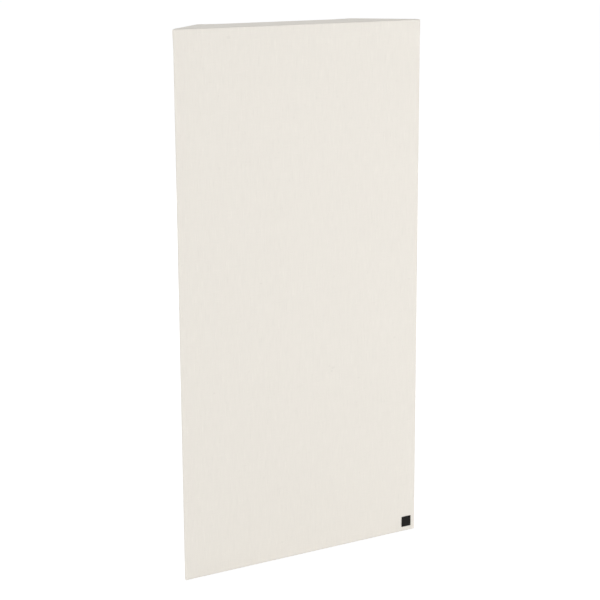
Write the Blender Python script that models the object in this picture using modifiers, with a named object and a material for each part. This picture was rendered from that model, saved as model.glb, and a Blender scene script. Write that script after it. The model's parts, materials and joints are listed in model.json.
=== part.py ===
"""Corner bass trap: a bevelled ply box filled with two layers of mineral wool and wrapped in cloth.

Metres, +Z up. The front faces -Y. The origin is on the underside, half way across and half way
through the wrapped body, which is a trapezoid in plan: wide at the front, its two side faces
bevelled so that they lie against the walls of a room's corner.
"""

import math

import bmesh
import bpy
from mathutils import Matrix, Vector

# Wrapped body
FRONT_WIDTH = 0.616  # between the front's two edges before they are rounded
HEIGHT = 1.200
BEVEL = math.radians(45.0)  # side faces, from the front-to-back direction
FRAME_ROUND = 0.0015  # outer edges of the box and ladder
ROUND_STEPS = 3

# Clearance between pieces that touch, and how far a cutter passes a surface
FIT = 0.0003
OVERCUT = 0.002

# Tolerances for merging points and for telling faces and edges apart
MERGE = 1e-6
ON_PLANE = 1e-5
SAME_WAY = math.cos(math.radians(0.8))  # least cosine between directions that count as one
FLAT_TURN = math.radians(5.0)
SMOOTH_TURN = math.radians(35.0)

# Sheet goods
CLOTH = 0.0010
VEIL = 0.0007
SCRIM = 0.0005
HEM = 0.035  # cloth turned over onto the back
SCRIM_MARGIN = 0.008  # scrim's edge from the edge of the back

# Box and ladder
BOARD = 0.012
LADDER = 0.012
STILE_WIDTH = 0.040
RAIL_WIDTH = 0.040

# Absorber
SLAB = 0.050

# Countersunk wood screws
WOOD_SHANK = 0.00175
WOOD_HEAD = 0.0035
WOOD_HEAD_HEIGHT = 0.0030
WOOD_LENGTH = 0.035
WOOD_TIP = 0.004
SUNK = 0.0003  # head below the wood
END_SCREW_EDGE = 0.022  # end screws from the front and rear edges of a side board
SHELF_SCREW_EDGE = 0.015  # rear shelf screw from the rear edge
SHELF_SCREW_GAP = 0.030  # between the two shelf screws, front to back
RAIL_SCREW_SPAN = 0.100

# Pan-head strap screws
PAN_SHANK = 0.0015
PAN_HEAD = 0.0030
PAN_HEAD_HEIGHT = 0.0017
PAN_RIM = 0.0008  # height of the head's upright rim
PAN_FLAT = 0.0020  # radius of its flat top
PAN_LENGTH = 0.012
PAN_TIP = 0.003

# Cross recess in every screw
RECESS_SPAN = 0.0036
RECESS_SLOT = 0.0010  # arm's width at the middle
RECESS_TIP = 0.0007  # and at its end
RECESS_DEPTH = 0.0011
SCREW_STEPS = 12

# Staples
STAPLE_CROWN = 0.0100
STAPLE_LEG = 0.0080
STAPLE_THICK = 0.0007
STAPLE_WIDE = 0.0009
STAPLE_EDGE = 0.014  # from the edge of the back
SIDE_STAPLES = 4
SIDE_STAPLE_END = 0.060  # first one on a side, from the top or bottom
END_STAPLE_SPAN = 0.200

# Hangers
HANGER_DROP = 0.300  # from the top
HANGER_INSET = 0.002  # barrel's axis from the stile's inner edge
STRAP_SHEET = 0.0012  # folded double
STRAP_WIDTH = 0.012
STRAP_ROUND = 0.004
STRAP_END = 0.009  # past the far screw
SCREW_PITCH = 0.0135
HEAD_GAP = 0.0054  # between the barrel and the near screw's head
RING_WIRE = 0.0015  # radius
RING_PLAY = 0.0004  # radial, in the barrel
RING_SIDE_GAP = 0.0015  # from the strap's edge to the start of the ring's corner
RING_CORNER = 0.0025
RING_REACH = 0.0135  # from the hinge to the bow's wire centre
ARC_STEPS = 4
BOW_STEPS = 12
BARREL_STEPS = 16

# Label
LABEL = 0.025
LABEL_THICK = 0.0008
LABEL_ROUND = 0.001
LABEL_FROM_SIDE = 0.016  # from the front's edge before it is rounded
LABEL_FROM_BASE = 0.012

# Places that follow from the sizes
SKIN = CLOTH + FIT  # from the wrapped surface to the frame
COVER_ROUND = FRAME_ROUND + SKIN
BODY_DEPTH = 2 * CLOTH + VEIL + 2 * SLAB + LADDER + 5 * FIT
Y_FRONT = -BODY_DEPTH / 2
Y_BACK = BODY_DEPTH / 2
Y_VEIL = Y_FRONT + SKIN
Y_FRAME = Y_VEIL + VEIL + FIT
Y_LADDER_BACK = Y_BACK - SKIN
Y_LADDER = Y_LADDER_BACK - LADDER
Y_BOX_BACK = Y_LADDER - FIT
Y_SCRIM = Y_BACK + FIT
Y_SCRIM_BACK = Y_SCRIM + SCRIM
LINING = SKIN + BOARD + FIT  # from the wrapped surface to what fills the box
SHELF_LOW = (HEIGHT - BOARD) / 2
SHELF_HIGH = (HEIGHT + BOARD) / 2
Z_HANGER = HEIGHT - HANGER_DROP
BARREL_BORE = RING_WIRE + RING_PLAY
BARREL_OUT = BARREL_BORE + STRAP_SHEET
NEAR_SCREW = BARREL_OUT + HEAD_GAP + PAN_HEAD  # from the barrel's axis
FAR_SCREW = NEAR_SCREW + SCREW_PITCH
STRAP_LENGTH = FAR_SCREW + STRAP_END
RING_HALF = STRAP_WIDTH / 2 + RING_SIDE_GAP + RING_CORNER  # half its width between wire centres


def side_x(y, inset):
    """Half the width at depth y of the surface that lies inset behind the wrapped side faces."""
    return FRONT_WIDTH / 2 - (y - Y_FRONT) * math.tan(BEVEL) - inset / math.cos(BEVEL)


def side_normal(side):
    """Outward normal of a side face; side is +1 on the right and -1 on the left."""
    return Vector((side * math.cos(BEVEL), math.sin(BEVEL), 0.0))


STILE_OUT = side_x(Y_LADDER_BACK, SKIN)
STILE_IN = STILE_OUT - STILE_WIDTH
X_BARREL = STILE_IN + HANGER_INSET
X_BACK = side_x(Y_BACK, 0.0)


# Scene, collections and materials


def empty_scene():
    """Removes what the file holds."""
    for old in list(bpy.data.objects):
        bpy.data.objects.remove(old, do_unlink=True)


def collection(name):
    made = bpy.data.collections.new(name)
    bpy.context.scene.collection.children.link(made)
    return made


def material(name, colour, roughness, metallic=0.0):
    """A Principled material; colour is linear RGB."""
    made = bpy.data.materials.new(name)
    made.use_nodes = True
    shader = made.node_tree.nodes["Principled BSDF"]
    shader.inputs["Base Color"].default_value = (*colour, 1.0)
    shader.inputs["Roughness"].default_value = roughness
    shader.inputs["Metallic"].default_value = metallic
    made.diffuse_color = (*colour, 1.0)
    return made


empty_scene()
PARTS = collection("bass_trap")
CUTTERS = collection("cutters")
FINISH = {
    "cloth": material("cream_cloth", (0.83, 0.79, 0.73), 0.9),
    "ply": material("birch_ply", (0.55, 0.39, 0.23), 0.6),
    "wool": material("mineral_wool", (0.42, 0.34, 0.16), 1.0),
    "veil": material("fibre_veil", (0.70, 0.68, 0.60), 0.95),
    "scrim": material("black_scrim", (0.015, 0.015, 0.016), 0.95),
    "label": material("black_label", (0.020, 0.018, 0.017), 0.5),
    "zinc": material("zinc_steel", (0.62, 0.63, 0.65), 0.35, 1.0),
    "wire": material("bright_wire", (0.70, 0.70, 0.71), 0.25, 1.0),
}


# Meshes


def mesh_object(name, mesh, group, finish=None, parent=None):
    """Links an object that holds the mesh."""
    made = bpy.data.objects.new(name, mesh)
    group.objects.link(made)
    if finish:
        mesh.materials.clear()
        mesh.materials.append(FINISH[finish])
    if parent:
        made.parent = parent
    return made


def evaluated_mesh(obj, tidy=None):
    """The object's mesh as the viewport shows it, its doubles merged and its normals out."""
    bpy.context.view_layer.update()
    mesh = bpy.data.meshes.new_from_object(obj.evaluated_get(bpy.context.evaluated_depsgraph_get()))
    shape = bmesh.new()
    shape.from_mesh(mesh)
    bmesh.ops.remove_doubles(shape, verts=shape.verts, dist=MERGE)
    if tidy:
        tidy(shape)
    bmesh.ops.recalc_face_normals(shape, faces=shape.faces)
    shape.to_mesh(mesh)
    shape.free()
    return mesh


def merge_flat_faces(shape):
    """Joins the triangles of a filled outline into one face."""
    bmesh.ops.dissolve_limit(shape, angle_limit=FLAT_TURN / 5, verts=shape.verts, edges=shape.edges)


def outline_mesh(name, outlines, thickness):
    """A flat outline in XY, with holes where later outlines lie inside the first, thickened about z = 0."""
    curve = bpy.data.curves.new(name, "CURVE")
    curve.dimensions = "2D"
    curve.fill_mode = "BOTH"
    curve.extrude = thickness / 2
    for points in outlines:
        spline = curve.splines.new("POLY")
        spline.points.add(len(points) - 1)
        for target, (x, y) in zip(spline.points, points, strict=True):
            target.co = (x, y, 0.0, 1.0)
        spline.use_cyclic_u = True
    flat = bpy.data.objects.new(name, curve)
    CUTTERS.objects.link(flat)
    mesh = evaluated_mesh(flat, merge_flat_faces)
    mesh.shade_flat()
    bpy.data.objects.remove(flat)
    bpy.data.curves.remove(curve)
    return mesh


def turned_mesh(name, profile):
    """A profile of (radius, height) points turned about Z, its first and last points on the axis."""
    mesh = bpy.data.meshes.new(name)
    mesh.from_pydata(
        [(r, 0.0, z) for r, z in profile],
        [(i, i + 1) for i in range(len(profile) - 1)],
        [],
    )
    lathe = bpy.data.objects.new(name, mesh)
    CUTTERS.objects.link(lathe)
    turn = lathe.modifiers.new("turn", "SCREW")
    turn.steps = SCREW_STEPS
    turn.render_steps = SCREW_STEPS
    turn.use_merge_vertices = True
    turn.merge_threshold = MERGE
    made = evaluated_mesh(lathe)
    bpy.data.objects.remove(lathe)
    return made


def joined(name, pieces):
    """One cutter object from (mesh, matrix) pairs."""
    shape = bmesh.new()
    for mesh, matrix in pieces:
        before = len(shape.verts)
        shape.from_mesh(mesh)
        shape.verts.ensure_lookup_table()
        bmesh.ops.transform(shape, matrix=matrix, verts=shape.verts[before:])
    bmesh.ops.recalc_face_normals(shape, faces=shape.faces)
    mesh = bpy.data.meshes.new(name)
    shape.to_mesh(mesh)
    shape.free()
    made = mesh_object(name, mesh, CUTTERS)
    made.hide_render = True
    made.display_type = "WIRE"
    return made


def cut(obj, holes):
    """Takes (mesh, matrix) shapes in world space out of an object."""
    tool = obj.modifiers.new("holes", "BOOLEAN")
    tool.operation = "DIFFERENCE"
    tool.solver = "EXACT"
    tool.object = joined(f"{obj.name}_holes", holes)


def smooth(mesh):
    mesh.shade_smooth()
    mesh.set_sharp_from_angle(angle=SMOOTH_TURN)


def mirror_left(mesh, side):
    """Turns a right-hand mesh into a left-hand one where side is -1."""
    if side < 0:
        mesh.transform(Matrix.Diagonal((-1.0, 1.0, 1.0, 1.0)))
        mesh.flip_normals()


def ease_edges(obj, radius_of):
    """Rounds edges with a Bevel modifier. radius_of gives an edge's radius, or 0 to leave it sharp."""
    shape = bmesh.new()
    shape.from_mesh(obj.data)
    weight = shape.edges.layers.float.new("bevel_weight_edge")
    setback = {}
    for edge in shape.edges:
        radius = radius_of(edge)
        if radius:
            setback[edge] = radius * math.tan(edge.calc_face_angle() / 2)
    widest = max(setback.values())
    for edge, back in setback.items():
        edge[weight] = back / widest
    shape.to_mesh(obj.data)
    shape.free()
    ease = obj.modifiers.new("eased_edges", "BEVEL")
    ease.limit_method = "WEIGHT"
    ease.offset_type = "OFFSET"
    ease.width = widest
    ease.segments = ROUND_STEPS
    ease.use_clamp_overlap = False


# Outer planes of the frame, as (point, normal)
ENVELOPE = [
    (Vector((0.0, Y_FRAME, 0.0)), Vector((0.0, -1.0, 0.0))),
    (Vector((0.0, Y_LADDER_BACK, 0.0)), Vector((0.0, 1.0, 0.0))),
    (Vector((side_x(0.0, SKIN), 0.0, 0.0)), side_normal(1)),
    (Vector((-side_x(0.0, SKIN), 0.0, 0.0)), side_normal(-1)),
    (Vector((0.0, 0.0, SKIN)), Vector((0.0, 0.0, -1.0))),
    (Vector((0.0, 0.0, HEIGHT - SKIN)), Vector((0.0, 0.0, 1.0))),
]


def on_envelope(face, place):
    """Whether a face of an object that stands at place lies on the frame's outside."""
    centre = face.calc_center_median() + place
    return any(
        face.normal.dot(normal) > SAME_WAY and abs((centre - point).dot(normal)) < ON_PLANE
        for point, normal in ENVELOPE
    )


def ease_outer_edges(obj):
    """Rounds the edges where two of the frame's outer faces meet."""

    def radius_of(edge):
        outer = len(edge.link_faces) == 2 and all(on_envelope(f, obj.location) for f in edge.link_faces)
        return FRAME_ROUND if outer and edge.calc_face_angle() > FLAT_TURN else 0.0

    ease_edges(obj, radius_of)


def plan_piece(name, outline, low, high, finish):
    """A piece with one plan from z = low to z = high."""
    made = mesh_object(name, outline_mesh(name, [outline], high - low), PARTS, finish, ROOT)
    made.location = (0.0, 0.0, (low + high) / 2)
    return made


def trapezoid(y_low, y_high, inset):
    """Plan outline between two depths, its sides inset behind the wrapped side faces."""
    return [
        (-side_x(y_low, inset), y_low),
        (side_x(y_low, inset), y_low),
        (side_x(y_high, inset), y_high),
        (-side_x(y_high, inset), y_high),
    ]


def rectangle(half_x, y_low, y_high):
    return [(-half_x, y_low), (half_x, y_low), (half_x, y_high), (-half_x, y_high)]


ROOT = bpy.data.objects.new("bass_trap_origin", None)
PARTS.objects.link(ROOT)


# Fasteners


def axes_matrix(place, out, across):
    """A frame at place whose Z axis points along out and whose X axis lies along across."""
    z = Vector(out).normalized()
    x = Vector(across).normalized()
    y = z.cross(x)
    turn = Matrix((x, y, z)).transposed().to_4x4()
    return Matrix.Translation(Vector(place)) @ turn


def wood_profile(grow=0.0, above=0.0):
    """Countersunk screw from its head's top at z = 0 down; grow makes its hole, above opens it upwards."""
    top = [(0.0, above), (WOOD_HEAD + grow, above)] if above else [(0.0, 0.0)]
    return top + [
        (WOOD_HEAD + grow, 0.0),
        (WOOD_SHANK + grow, -WOOD_HEAD_HEIGHT - grow),
        (WOOD_SHANK + grow, -WOOD_LENGTH + WOOD_TIP),
        (0.0, -WOOD_LENGTH - grow),
    ]


def pan_profile():
    """Pan-head screw; z = 0 is the underside of its head."""
    return [
        (0.0, PAN_HEAD_HEIGHT),
        (PAN_FLAT, PAN_HEAD_HEIGHT),
        (PAN_HEAD, PAN_RIM),
        (PAN_HEAD, 0.0),
        (PAN_SHANK, 0.0),
        (PAN_SHANK, -PAN_LENGTH + PAN_TIP),
        (0.0, -PAN_LENGTH),
    ]


def pan_hole_profile():
    return [
        (0.0, OVERCUT),
        (PAN_SHANK + FIT, OVERCUT),
        (PAN_SHANK + FIT, -PAN_LENGTH + PAN_TIP),
        (0.0, -PAN_LENGTH - FIT),
    ]


def cross_outline():
    """Plan of a cross recess."""
    arm = RECESS_SPAN / 2
    slot = RECESS_SLOT / 2
    tip = RECESS_TIP / 2
    quarter = [(arm, -tip), (arm, tip), (slot, slot)]
    points = []
    for turn in range(4):
        c, s = round(math.cos(turn * math.pi / 2)), round(math.sin(turn * math.pi / 2))
        points += [(c * x - s * y, s * x + c * y) for x, y in quarter]
    return points


def screw_mesh(name, profile, top):
    """A turned screw with a cross recess sunk into its head, whose top is at z = top."""
    blank = mesh_object(name, turned_mesh(name, profile), CUTTERS)
    recess = outline_mesh(f"{name}_recess", [cross_outline()], 2 * RECESS_DEPTH)
    cut(blank, [(recess, Matrix.Translation((0.0, 0.0, top)))])
    mesh = evaluated_mesh(blank)
    smooth(mesh)
    bpy.data.objects.remove(bpy.data.objects[f"{name}_holes"])
    bpy.data.objects.remove(blank)
    mesh.materials.append(FINISH["zinc"])
    return mesh


WOOD_SCREW = screw_mesh("wood_screw", wood_profile(), 0.0)
WOOD_HOLE = turned_mesh("wood_screw_hole", wood_profile(FIT, OVERCUT))
PAN_SCREW = screw_mesh("pan_screw", pan_profile(), PAN_HEAD_HEIGHT)
PAN_HOLE = turned_mesh("pan_screw_hole", pan_hole_profile())


def staple_mesh():
    """A staple in its own XZ plane: the crown's underside at z = 0, the legs down."""
    half = STAPLE_CROWN / 2
    inner = half - STAPLE_THICK
    outline = [
        (-half, -STAPLE_LEG),
        (-inner, -STAPLE_LEG),
        (-inner, 0.0),
        (inner, 0.0),
        (inner, -STAPLE_LEG),
        (half, -STAPLE_LEG),
        (half, STAPLE_THICK),
        (-half, STAPLE_THICK),
    ]
    mesh = outline_mesh("staple", [outline], STAPLE_WIDE)
    mesh.transform(Matrix.Rotation(math.pi / 2, 4, "X"))
    mesh.materials.append(FINISH["wire"])
    return mesh


def leg_holes_mesh():
    """The two holes that a staple's legs need."""
    shape = bmesh.new()
    size = (STAPLE_THICK + 2 * FIT, STAPLE_WIDE + 2 * FIT, STAPLE_LEG + OVERCUT + FIT)
    for side in (-1, 1):
        place = (side * (STAPLE_CROWN - STAPLE_THICK) / 2, 0.0, OVERCUT - size[2] / 2)
        matrix = Matrix.Translation(place) @ Matrix.Diagonal((*size, 1.0))
        bmesh.ops.create_cube(shape, size=1.0, matrix=matrix)
    mesh = bpy.data.meshes.new("staple_leg_holes")
    shape.to_mesh(mesh)
    shape.free()
    return mesh


STAPLE = staple_mesh()
LEG_HOLES = leg_holes_mesh()


class Fasteners:
    """Places fasteners, and keeps for each piece the holes that it needs."""

    def __init__(self):
        self.holes = {}

    def add(self, name, mesh, hole, matrix, through):
        made = mesh_object(name, mesh, PARTS, None, ROOT)
        made.matrix_world = matrix
        for piece in through:
            self.holes.setdefault(piece, []).append((hole, matrix))

    def drill(self):
        for piece, holes in self.holes.items():
            cut(PARTS.objects[piece], holes)


SIDES = {"left": -1, "right": 1}


def add_end_screws(fasteners):
    """Down through the end boards into the ends of the side boards."""
    rows = {"front": Y_FRAME + END_SCREW_EDGE, "rear": Y_BOX_BACK - END_SCREW_EDGE}
    for end, out in (("top", 1), ("bottom", -1)):
        z = HEIGHT / 2 + out * (HEIGHT / 2 - SKIN - SUNK)
        for hand, side in SIDES.items():
            for row, y in rows.items():
                place = (side * side_x(y, SKIN + BOARD / 2), y, z)
                fasteners.add(
                    f"{end}_{hand}_{row}_screw",
                    WOOD_SCREW,
                    WOOD_HOLE,
                    axes_matrix(place, (0, 0, out), (1, 0, 0)),
                    (f"{end}_board", f"{hand}_side_board"),
                )


def add_shelf_screws(fasteners):
    """Square through the side boards into the ends of the shelf."""
    rear = Y_BOX_BACK - SHELF_SCREW_EDGE
    for hand, side in SIDES.items():
        for row, y in (("front", rear - SHELF_SCREW_GAP), ("rear", rear)):
            face = Vector((side * side_x(y, SKIN), y, HEIGHT / 2))
            out = side_normal(side)
            fasteners.add(
                f"shelf_{hand}_{row}_screw",
                WOOD_SCREW,
                WOOD_HOLE,
                axes_matrix(face - out * SUNK, out, (0, 0, 1)),
                ("centre_shelf", f"{hand}_side_board"),
            )


def add_ladder_screws(fasteners):
    """From the back through the ladder into the rear edges of the end boards and shelf."""
    y = Y_LADDER_BACK - SUNK
    levels = {
        "bottom": (SKIN + BOARD / 2, "bottom_board"),
        "middle": (HEIGHT / 2, "centre_shelf"),
        "top": (HEIGHT - SKIN - BOARD / 2, "top_board"),
    }
    for hand, side in SIDES.items():
        for level, (z, board) in levels.items():
            place = (side * (STILE_IN + STILE_OUT) / 2, y, z)
            matrix = axes_matrix(place, (0, 1, 0), (1, 0, 0))
            fasteners.add(f"{hand}_stile_{level}_screw", WOOD_SCREW, WOOD_HOLE, matrix, (f"{hand}_stile", board))
            if level != "middle":
                place = (side * RAIL_SCREW_SPAN / 2, y, z)
                matrix = axes_matrix(place, (0, 1, 0), (1, 0, 0))
                fasteners.add(f"{level}_rail_{hand}_screw", WOOD_SCREW, WOOD_HOLE, matrix, (f"{level}_rail", board))


def add_staples(fasteners):
    """Through the scrim and the turned-over cloth into the ladder."""
    y = Y_SCRIM_BACK + FIT
    sheets = ("rear_scrim", "fabric_cover")
    step = (HEIGHT - 2 * SIDE_STAPLE_END) / (SIDE_STAPLES - 1)
    for hand, side in SIDES.items():
        x = side * (X_BACK - STAPLE_EDGE)
        for i in range(SIDE_STAPLES):
            place = (x, y, SIDE_STAPLE_END + i * step)
            matrix = axes_matrix(place, (0, 1, 0), (0, 0, 1))
            fasteners.add(f"{hand}_staple_{i + 1}", STAPLE, LEG_HOLES, matrix, (*sheets, f"{hand}_stile"))
        for end, z in (("top", HEIGHT - STAPLE_EDGE), ("bottom", STAPLE_EDGE)):
            place = (side * END_STAPLE_SPAN / 2, y, z)
            matrix = axes_matrix(place, (0, 1, 0), (1, 0, 0))
            fasteners.add(f"{end}_staple_{hand}", STAPLE, LEG_HOLES, matrix, (*sheets, f"{end}_rail"))


# Hangers


def arc(centre, radius, start, stop, steps):
    """Points on an arc, both ends included; angles in radians."""
    return [
        (
            centre[0] + radius * math.cos(start + (stop - start) * i / steps),
            centre[1] + radius * math.sin(start + (stop - start) * i / steps),
        )
        for i in range(steps + 1)
    ]


def strap_mesh():
    """Side view in XY: X runs along the strap, Y out of the back, the barrel's axis at the origin."""
    low = -BARREL_OUT
    high = low + 2 * STRAP_SHEET
    meet = math.atan2(high, math.sqrt(BARREL_OUT**2 - high**2))
    barrel = arc((0.0, 0.0), BARREL_OUT, meet, 1.5 * math.pi, BARREL_STEPS)
    bore = arc((0.0, 0.0), BARREL_BORE, 0.0, 2 * math.pi, BARREL_STEPS)[:-1]
    mesh = outline_mesh("strap", [[*barrel, (STRAP_LENGTH, low), (STRAP_LENGTH, high)], bore], STRAP_WIDTH)
    smooth(mesh)
    for face in mesh.polygons:
        upright = abs(face.normal.z) > SAME_WAY
        face.use_smooth = not upright and math.hypot(face.center.x, face.center.y) < BARREL_OUT
    return mesh


def ring_path():
    """The D's wire centre in XY: Y along the hinge, the bow towards -X."""
    turn = RING_HALF - RING_CORNER
    corner = [(x, -y) for x, y in arc((-RING_CORNER, turn), RING_CORNER, math.pi / 2, 0.0, ARC_STEPS)]
    bow = [
        (
            -RING_CORNER - (RING_REACH - RING_CORNER) * math.sin(math.pi * i / BOW_STEPS),
            RING_HALF * math.cos(math.pi * i / BOW_STEPS),
        )
        for i in range(1, BOW_STEPS)
    ]
    return corner + [(x, -y) for x, y in reversed(corner)] + bow


def ring_mesh():
    curve = bpy.data.curves.new("d_ring", "CURVE")
    curve.dimensions = "3D"
    curve.bevel_depth = RING_WIRE
    curve.bevel_resolution = 2
    points = ring_path()
    spline = curve.splines.new("POLY")
    spline.points.add(len(points) - 1)
    for target, (x, y) in zip(spline.points, points, strict=True):
        target.co = (x, y, 0.0, 1.0)
    spline.use_cyclic_u = True
    wire = bpy.data.objects.new("d_ring", curve)
    CUTTERS.objects.link(wire)
    mesh = evaluated_mesh(wire)
    bpy.data.objects.remove(wire)
    bpy.data.curves.remove(curve)
    smooth(mesh)
    mesh.materials.append(FINISH["wire"])
    return mesh


def add_hanger(hand, fasteners):
    """A strap with its barrel at the stile's inner edge and its ring towards the middle of the back."""
    side = SIDES[hand]
    y = Y_SCRIM_BACK + FIT + BARREL_OUT
    pivot = bpy.data.objects.new(f"{hand}_hanger", None)
    PARTS.objects.link(pivot)
    pivot.parent = ROOT
    pivot.location = (side * X_BARREL, y, Z_HANGER)

    strap = mesh_object(f"{hand}_hanger_strap", strap_mesh(), PARTS, "zinc", pivot)
    mirror_left(strap.data, side)

    def radius_of(edge):
        far = all(abs(abs(v.co.x) - STRAP_LENGTH) < ON_PLANE for v in edge.verts)
        along_y = abs(edge.verts[0].co.y - edge.verts[1].co.y) > STRAP_SHEET
        return STRAP_ROUND if far and along_y else 0.0

    ease_edges(strap, radius_of)

    ring = mesh_object(f"{hand}_d_ring", ring_mesh(), PARTS, None, pivot)
    ring.data.transform(Matrix.Rotation(math.pi / 2, 4, "X"))
    mirror_left(ring.data, side)

    head = Y_SCRIM_BACK + FIT + 2 * STRAP_SHEET + FIT
    for hole, along in (("near", NEAR_SCREW), ("far", FAR_SCREW)):
        place = (side * (X_BARREL + along), head, Z_HANGER)
        fasteners.add(
            f"{hand}_hanger_{hole}_screw",
            PAN_SCREW,
            PAN_HOLE,
            axes_matrix(place, (0, 1, 0), (1, 0, 0)),
            (f"{hand}_hanger_strap", "rear_scrim", "fabric_cover", f"{hand}_stile"),
        )


# Frame


def add_boards():
    ends = trapezoid(Y_FRAME, Y_BOX_BACK, SKIN)
    for name, low in (("bottom_board", SKIN), ("top_board", HEIGHT - SKIN - BOARD)):
        ease_outer_edges(plan_piece(name, ends, low, low + BOARD, "ply"))
    for hand, side in SIDES.items():
        plan = [
            (side * side_x(Y_FRAME, SKIN), Y_FRAME),
            (side * side_x(Y_BOX_BACK, SKIN), Y_BOX_BACK),
            (side * side_x(Y_BOX_BACK, SKIN + BOARD), Y_BOX_BACK),
            (side * side_x(Y_FRAME, SKIN + BOARD), Y_FRAME),
        ]
        ease_outer_edges(plan_piece(f"{hand}_side_board", plan, LINING, HEIGHT - LINING, "ply"))
    plan_piece("centre_shelf", trapezoid(Y_FRAME, Y_BOX_BACK, LINING), SHELF_LOW, SHELF_HIGH, "ply")


def add_ladder():
    for hand, side in SIDES.items():
        plan = [
            (side * side_x(Y_LADDER, SKIN), Y_LADDER),
            (side * STILE_OUT, Y_LADDER_BACK),
            (side * STILE_IN, Y_LADDER_BACK),
            (side * STILE_IN, Y_LADDER),
        ]
        ease_outer_edges(plan_piece(f"{hand}_stile", plan, SKIN, HEIGHT - SKIN, "ply"))
    for name, low in (("bottom_rail", SKIN), ("top_rail", HEIGHT - SKIN - RAIL_WIDTH)):
        plan = rectangle(STILE_IN - FIT, Y_LADDER, Y_LADDER_BACK)
        ease_outer_edges(plan_piece(name, plan, low, low + RAIL_WIDTH, "ply"))


# Absorber and sheets


def add_wool():
    layers = {
        "front": (Y_FRAME, Y_FRAME + SLAB),
        "rear": (Y_FRAME + SLAB + FIT, Y_FRAME + 2 * SLAB + FIT),
    }
    levels = {"lower": (LINING, SHELF_LOW - FIT), "upper": (SHELF_HIGH + FIT, HEIGHT - LINING)}
    for layer, (y_low, y_high) in layers.items():
        for level, (low, high) in levels.items():
            plan_piece(f"{layer}_wool_{level}", trapezoid(y_low, y_high, LINING), low, high, "wool")


def cover_setback():
    """How far the rounded front edge starts from where its two faces would meet."""
    return COVER_ROUND * math.tan((math.pi / 2 + BEVEL) / 2)


def add_veil():
    plan = rectangle(FRONT_WIDTH / 2 - cover_setback(), Y_VEIL, Y_VEIL + VEIL)
    plan_piece("facing_veil", plan, COVER_ROUND, HEIGHT - COVER_ROUND, "veil")


def add_cover():
    """The wrapped body's surface, open at the back inside the hem, given the cloth's thickness inwards."""
    cover = plan_piece("fabric_cover", trapezoid(Y_FRONT, Y_BACK, 0.0), 0.0, HEIGHT, "cloth")
    shape = bmesh.new()
    shape.from_mesh(cover.data)
    back = [f for f in shape.faces if f.normal.y > SAME_WAY]
    bmesh.ops.inset_region(shape, faces=back, thickness=HEM)
    bmesh.ops.delete(shape, geom=[f for f in back if f.is_valid], context="FACES_KEEP_BOUNDARY")
    shape.to_mesh(cover.data)
    shape.free()

    def radius_of(edge):
        bends = len(edge.link_faces) == 2 and edge.calc_face_angle() > FLAT_TURN
        return COVER_ROUND if bends else 0.0

    ease_edges(cover, radius_of)
    wall = cover.modifiers.new("cloth_thickness", "SOLIDIFY")
    wall.thickness = CLOTH
    wall.offset = -1.0
    wall.use_even_offset = True


def add_scrim():
    plan = rectangle(X_BACK - SCRIM_MARGIN, Y_SCRIM, Y_SCRIM_BACK)
    plan_piece("rear_scrim", plan, SCRIM_MARGIN, HEIGHT - SCRIM_MARGIN, "scrim")


def add_label():
    """A square badge, made lying flat and stood against the front."""
    half = LABEL / 2
    square = [(-half, -half), (half, -half), (half, half), (-half, half)]
    mesh = outline_mesh("label_plate", [square], LABEL_THICK)
    label = mesh_object("label_plate", mesh, PARTS, "label", ROOT)
    label.rotation_euler = (math.pi / 2, 0.0, 0.0)
    label.location = (
        FRONT_WIDTH / 2 - LABEL_FROM_SIDE - half,
        Y_FRONT - FIT - LABEL_THICK / 2,
        LABEL_FROM_BASE + half,
    )

    def radius_of(edge):
        return LABEL_ROUND if abs(edge.verts[0].co.z - edge.verts[1].co.z) > LABEL_THICK / 2 else 0.0

    ease_edges(label, radius_of)


def main():
    add_boards()
    add_ladder()
    add_wool()
    add_veil()
    add_cover()
    add_scrim()
    add_label()
    fasteners = Fasteners()
    add_end_screws(fasteners)
    add_shelf_screws(fasteners)
    add_ladder_screws(fasteners)
    add_staples(fasteners)
    for hand in SIDES:
        add_hanger(hand, fasteners)
    fasteners.drill()
    bpy.context.view_layer.update()


main()
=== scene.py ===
"""Looks of a corner bass trap: cream cloth folded over a bevelled ply box, a black dust cloth
stapled over its back, two zinc hangers with wire rings, and a bare badge on the front.

Metres, +Z up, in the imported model's frame. The front faces -Y.
"""

import json
import math
from functools import partialmethod

import bpy
import numpy as np
from mathutils import Matrix, Quaternion, Vector, noise


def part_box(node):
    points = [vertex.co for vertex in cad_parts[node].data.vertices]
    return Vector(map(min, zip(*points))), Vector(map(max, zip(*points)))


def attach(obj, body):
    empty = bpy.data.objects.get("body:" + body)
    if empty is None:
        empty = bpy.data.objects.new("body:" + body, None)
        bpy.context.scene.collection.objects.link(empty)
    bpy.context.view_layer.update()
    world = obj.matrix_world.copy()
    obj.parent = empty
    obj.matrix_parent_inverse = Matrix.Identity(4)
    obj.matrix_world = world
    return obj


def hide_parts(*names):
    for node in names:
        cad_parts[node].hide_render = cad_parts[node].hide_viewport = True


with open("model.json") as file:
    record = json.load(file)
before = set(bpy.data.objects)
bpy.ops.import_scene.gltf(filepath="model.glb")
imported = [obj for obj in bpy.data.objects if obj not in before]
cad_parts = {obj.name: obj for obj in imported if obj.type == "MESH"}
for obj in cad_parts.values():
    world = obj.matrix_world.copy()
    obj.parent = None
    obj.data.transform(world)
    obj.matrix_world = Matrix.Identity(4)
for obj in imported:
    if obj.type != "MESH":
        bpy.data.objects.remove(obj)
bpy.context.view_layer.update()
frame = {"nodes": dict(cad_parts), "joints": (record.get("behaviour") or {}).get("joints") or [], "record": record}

BODY = "trap_body"
SIDES = {"left": -1, "right": 1}
ACROSS, FRONT, BACK, UP = (1, 0, 0), (0, -1, 0), (0, 1, 0), (0, 0, 1)
QUARTER = math.pi / 2
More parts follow.
